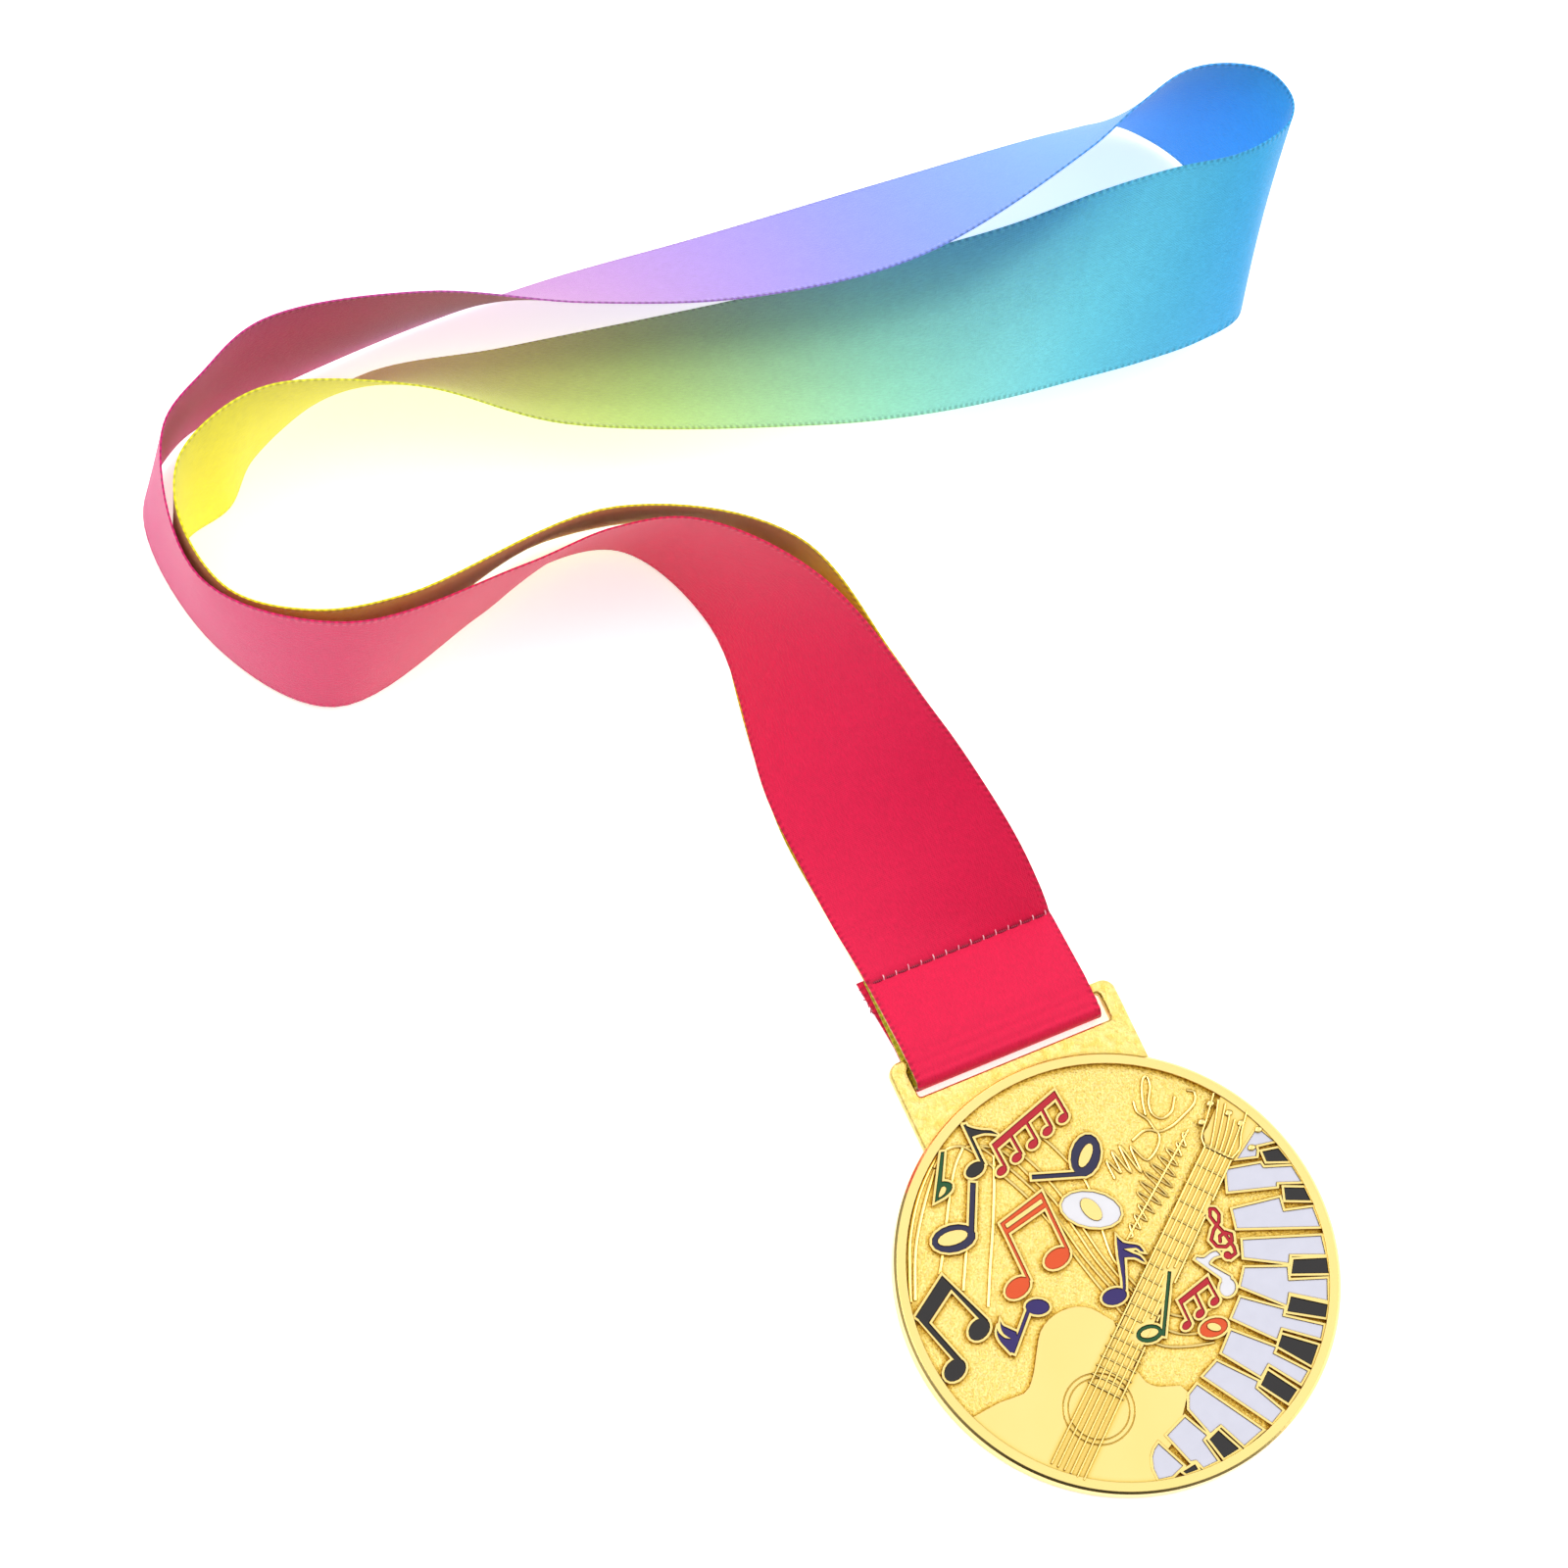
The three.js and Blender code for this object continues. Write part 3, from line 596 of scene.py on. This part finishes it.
staffLines = [
    [(-32, 8), (-30, 12.5), (-27.7, 17.2), (-24, 22.3), (-20.5, 25.7), (-18, 27.6)],
    [(-31.2, 8), (-27.7, 15.2), (-25.2, 18.9), (-22.2, 22.6), (-19.5, 25.5)],
    [(-26, 10.2), (-24.2, 12.9), (-21.5, 17.2), (-18.6, 21.8), (-16.2, 25), (-14, 27)],
    [(-23.7, 6.5), (-21, 11.2), (-18.2, 16.2), (-15.5, 20.4), (-13.2, 23.8), (-11.5, 26)],
    [(-21.2, 2.7), (-18.3, 8.1), (-15.2, 13.6), (-12, 19.8), (-10, 24)],
    [(-19.5, 25.8), (-17, 27.6), (-14.2, 27.4), (-11.8, 24.2), (-9.9, 20.3), (-8, 16), (-6.2, 9.8), (-5, 4),
     (-3.6, -1.8), (-2.4, -6)],
    [(-13.4, 27), (-11.6, 26.2), (-8.8, 21.6), (-6, 15), (-4.8, 9), (-3.9, 4), (-2.3, -1.6), (-0.9, -6)],
    [(-11.4, 26.4), (-8.6, 24.4), (-6.4, 19.5), (-4.3, 13.7), (-3.3, 8.8), (-2.4, 3), (-1, -2), (0.6, -6.2)],
    [(-8, 25.6), (-5.4, 21.6), (-3.2, 15.2), (-2.1, 8.6), (-1.2, 3), (0.3, -2.5), (2, -6.8)],
    [(-3.4, 26.4), (-1.3, 23), (0.4, 18.6), (1.6, 14.6), (0.6, 7), (0.2, 2), (1.6, -3), (3.4, -7.4)],
    [(-2.4, -6), (-1.5, -9.5), (1.2, -13.2), (5.2, -15), (9, -15.9)],
    [(0.6, -6.2), (1.5, -9), (4, -12.2), (8, -13.8), (11.5, -13.6)],
    [(3.4, -7.4), (5, -9.6), (8.2, -11), (12, -10.6), (14.4, -8.4)],
]


def alongNeck(start, distance, side):
    angle = math.radians(relief["neckAngle"])
    x, y = start
    return (x + distance * math.cos(angle) - side * math.sin(angle),
            y + distance * math.sin(angle) + side * math.cos(angle))


def neckLines():
    low, nut = Vector(relief["saddle"]), Vector(relief["nut"])
    length = (nut - low).length
    lowHalf, nutHalf = relief["halfWidths"]
    strings = []
    for k in range(6):
        share = k / 2.5 - 1
        lower = alongNeck(relief["saddle"], 0, share * lowHalf)
        upper = alongNeck(relief["saddle"], length, share * nutHalf)
        strings.append([(*lower, 2.95), (*upper, 3.0)])
    frets = []
    gap, run = relief["firstFret"], 0.0
    for k in range(relief["frets"] + 1):
        reach = relief["boardHalf"] - relief["boardTaper"] * run / relief["boardLength"]
        ends = [alongNeck(relief["boardStart"], run, side) for side in (-reach, reach)]
        frets.append([(*end, relief["fretHigh"]) for end in ends])
        run += gap
        gap *= relief["fretGrowth"]
    return strings, frets


wave = {
    "start": (3.8, 4.2),
    "end": (19.8, 15.8),
    "lean": 0.35,
    "loud": [0.5, 0.8, 1.0, 0.9, 1.3, 1.1, 1.7, 2.3, 2.0, 2.7, 2.4, 2.9, 2.2, 2.6, 1.8, 2.1, 1.3, 1.6, 1.0,
             0.7, 0.9, 0.5],
}


def waveLine():
    # a sound wave along a slanting axis, loudest past its middle
    start, end = Vector(wave["start"]), Vector(wave["end"])
    along = (end - start).normalized()
    side = Vector((-along.y, along.x))
    loud, slant = wave["loud"], wave["lean"]
    points = [tuple(start)]
    for k, height in enumerate(loud):
        centre = start + (end - start) * (k + 1) / (len(loud) + 1)
        lean = along * (slant if k % 2 else -slant)
        points.append(tuple(centre + side * (height if k % 2 else -height) + lean))
    points.append(tuple(end))
    return [points, [tuple(start - along * 0.5), tuple(end + along * 0.6)]]


flourish = [
    # pen strokes with no letter in them
    [(14.2, 23.6), (14, 21.8), (15, 20), (15.6, 17.8), (17.8, 17.6), (20.4, 18.4), (22.9, 19.6), (23.8, 21.2),
     (22.8, 22)],
    [(15, 20.8), (15.7, 23.4), (17.1, 26.2), (17.9, 26.4), (17.8, 25), (16.4, 22.6), (16.1, 20.6), (17, 19.4),
     (18.8, 19.6), (20.6, 21.8)],
    [(6, 13.4), (6.1, 16.6), (7.3, 14), (7.5, 17.6), (8.8, 13.4), (9, 18), (10.3, 12.8), (10.6, 17.2),
     (12, 14.2), (14.6, 15.6), (15.6, 17.4), (14, 18.6), (11.2, 17.9)],
]

# raised lines on the headstock: its two long edges, and the strings fanning to their pegs
headLines = [
    [(21.3, 12.4), (21.5, 14.2), (23.4, 16.4), (26.4, 19.8)],
    [(24.3, 9.2), (26.1, 10.1), (27.6, 12.4), (30, 15.2)],
    [(21.9, 11.9), (24.2, 15), (26.6, 18.6)],
    [(22.4, 11.3), (24.8, 14.2), (27.4, 17.6)],
    [(22.9, 10.7), (25.4, 13.4), (27.3, 15.9)],
    [(23.4, 10.1), (26, 12.8), (27.6, 14.7)],
    [(23.9, 9.6), (26.7, 12.2), (28.3, 13.8)],
    [(21.5, 12.5), (24.3, 9.3)],
]


def makeRelief():
    radius, high = relief["staffRadius"], relief["staffHigh"]
    threadCurve("staffRidges", staffLines, radius, high, brightGold)
    strings, frets = neckLines()
    covers = [node for name, node in frame["nodes"].items() if name.startswith("note_")]
    threadCurve("guitarStrings", strings, relief["stringRadius"], 2.95, brightGold, 100, covers)
    threadCurve("fretBars", frets, relief["fretRadius"], 2.92, brightGold, 12, covers)
    threadCurve("headstockLines", headLines, relief["stringRadius"], 2.93, brightGold, 6)
    threadCurve("soundWave", waveLine(), 0.2, 2.34, brightGold, 5)
    threadCurve("penFlourish", flourish, 0.24, 2.34, brightGold)


makeRelief()
print("relief made")

pegs = {
    "places": [(22.6, 16.3), (25.2, 18.5), (27.2, 16), (28.3, 13.8), (28.1, 9.6), (30.4, 11.8)],
    "high": 2.85,
    "radius": 0.55,
    "shape": (1.25, 0.95, 0.5),
}


def makePegs():
    for k, (x, y) in enumerate(pegs["places"]):
        place = (x * mm, y * mm, pegs["high"] * mm)
        radius = pegs["radius"] * mm
        bpy.ops.mesh.primitive_uv_sphere_add(segments=20, ring_count=10, radius=radius, location=place)
        peg = bpy.context.object
        peg.name = f"tuningPeg{k + 1}"
        peg.scale = pegs["shape"]
        bpy.ops.object.transform_apply(location=True, rotation=True, scale=True)
        bpy.ops.object.shade_smooth()
        peg.data.materials.append(brightGold)
        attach(peg, "medal")


makePegs()
print("pegs made")


def threadFinish(name, dark, light):
    finish = Finish(name)
    twist = finish.node("ShaderNodeTexWave", Scale=900.0, Distortion=2.0)
    finish.join(finish.objectPlace(), twist.inputs["Vector"])
    tone = finish.ramp(twist.outputs["Fac"], [(0.2, fromHex(dark)), (0.8, fromHex(light))])
    finish.join(tone, finish.shader.inputs["Base Color"])
    finish.join(finish.bump(twist.outputs["Fac"], 0.4, 0.00005), finish.shader.inputs["Normal"])
    finish.set(Roughness=0.55)
    return finish.material


stitching = {
    "span": (-15.6, 15.0),
    "high": 1.55,
    "radius": 0.19,
    "tickRadius": 0.1,
    "tick": 0.75,
    "frays": 7,
    "frayRadius": 0.08,
    "frayStart": 51.5,
    "fraySpan": 6,
}


def ridesOnRibbon(piece):
    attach(piece, "ribbon")
    return piece


def makeStitches():
    # dark stitches sunk in the groove, and a pale loop of thread standing across it beside each
    y, high = ribbon["stitchY"], stitching["high"]
    low = high - 0.25
    first, last = stitching["span"]
    pitch = (last - first) / ribbon["stitches"]
    stitches, ticks = [], []
    for k in range(ribbon["stitches"]):
        a = first + pitch * (k + 0.1)
        b = a + pitch * 0.74
        top = [(a + 0.3, y, high), ((a + b) / 2, y, high + 0.06), (b - 0.3, y, high)]
        stitches.append([(a, y - 0.05, low), *top, (b, y + 0.05, low)])
        c = first + pitch * (k + 0.95)
        reach = stitching["tick"] * random.uniform(0.6, 1.1)
        foot, crown = (c, y - 0.15, high - 0.1), (c + 0.05, y + 0.15, high + 0.28)
        ticks.append([foot, crown, (c + 0.12, y + reach, high + 0.2)])
    dark = threadFinish("seamThread", "6d0a24", "b01c42")
    row = threadCurve("seamStitches", stitches, stitching["radius"], high, dark, 3)
    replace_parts(ridesOnRibbon(row), "seam_stitching")
    pale = threadFinish("paleThread", "f08ca4", "ffd2dc")
    ridesOnRibbon(threadCurve("threadTicks", ticks, stitching["tickRadius"], high, pale, 3))


def makeFrays():
    # loose threads at the side of the tail, near its end
    frays = []
    for k in range(stitching["frays"]):
        y0 = stitching["frayStart"] + stitching["fraySpan"] * k / stitching["frays"]
        edge = -16.75 - 0.66 * (y0 - 51) / 6.8
        reach = random.uniform(0.15, 0.5)
        middle = (edge - reach / 2, y0 + random.uniform(-0.3, 0.3), 0.4)
        tip = (edge - reach, y0 + random.uniform(-0.8, 0.8), random.uniform(0.2, 0.6))
        frays.append([(edge, y0, 0.25), middle, tip])
    frayed = threadFinish("frayThread", "7c1230", "c02a50")
    ridesOnRibbon(threadCurve("frayedEnds", frays, stitching["frayRadius"], 0.3, frayed, 3))


makeStitches()
makeFrays()
print("stitches made")

stage = {
    "floor": 3.0,
    "floorColor": "fbfbfc",
    "floorGlow": 0.55,
    "zenith": 1.15,
    "horizon": 0.2,
    "riseRange": (0.05, 0.8),
    "dimSide": (-0.5, -0.8, 0.2),
    "dimRange": (0.45, 0.95),
    "dimTo": 0.12,
}


def makeStage():
    bpy.ops.mesh.primitive_plane_add(size=stage["floor"], location=(0, 0.1, -0.0002))
    floor = bpy.context.object
    floor.name = "floor"
    finish = Finish("paleFloor")
    tone = finish.noise(finish.objectPlace(), 3, 1)
    paper = fromHex(stage["floorColor"])
    finish.join(finish.ramp(tone, [(0.2, paper), (0.8, (1, 1, 1))]), finish.shader.inputs["Base Color"])
    finish.set(Roughness=0.95, Emission_Color=(1, 1, 1, 1), Emission_Strength=stage["floorGlow"])
    finish.set(Specular_IOR_Level=0.1)
    floor.data.materials.append(finish.material)
    bpy.context.scene.view_settings.view_transform = "Standard"
    bpy.context.scene.view_settings.look = "None"
    world = bpy.data.worlds.new("studio")
    bpy.context.scene.world = world
    world.use_nodes = True
    tree = world.node_tree
    back = tree.nodes["Background"]
    coords = tree.nodes.new("ShaderNodeTexCoord")
    split = tree.nodes.new("ShaderNodeSeparateXYZ")
    tree.links.new(coords.outputs["Generated"], split.inputs[0])
    rise = tree.nodes.new("ShaderNodeMapRange")
    setRange(rise, *stage["riseRange"], stage["horizon"], stage["zenith"])
    tree.links.new(split.outputs[2], rise.inputs["Value"])
    # one side of the sky is dimmer, so that the metal has something dark to mirror
    dim = tree.nodes.new("ShaderNodeVectorMath")
    dim.operation = "DOT_PRODUCT"
    dim.inputs[1].default_value = Vector(stage["dimSide"]).normalized()
    tree.links.new(coords.outputs["Generated"], dim.inputs[0])
    side = tree.nodes.new("ShaderNodeMapRange")
    setRange(side, *stage["dimRange"], 1.0, stage["dimTo"])
    tree.links.new(dim.outputs["Value"], side.inputs["Value"])
    both = tree.nodes.new("ShaderNodeMath")
    both.operation = "MULTIPLY"
    tree.links.new(rise.outputs["Result"], both.inputs[0])
    tree.links.new(side.outputs["Result"], both.inputs[1])
    tree.links.new(both.outputs[0], back.inputs["Strength"])
    back.inputs["Color"].default_value = (1, 1, 1, 1)


lamps = [
    # name, place, aim, size, watts
    ("key", (-0.45, 0.35, 1.1), (0, 0.08, 0), 0.5, 2.6),
    ("backRim", (0.1, 1.0, 0.7), (0, 0.08, 0), 0.5, 1.8),
    ("rightSide", (0.9, -0.2, 0.8), (0, 0.08, 0), 0.5, 1.8),
]


def makeLamps():
    for name, place, aim, size, watts in lamps:
        data = bpy.data.lights.new(name, "AREA")
        data.size = size
        data.energy = watts
        lamp = bpy.data.objects.new(name, data)
        bpy.context.collection.objects.link(lamp)
        lamp.location = place
        lamp.rotation_euler = (Vector(aim) - Vector(place)).to_track_quat("-Z", "Y").to_euler()


makeStage()
makeLamps()
print("stage and lamps placed")
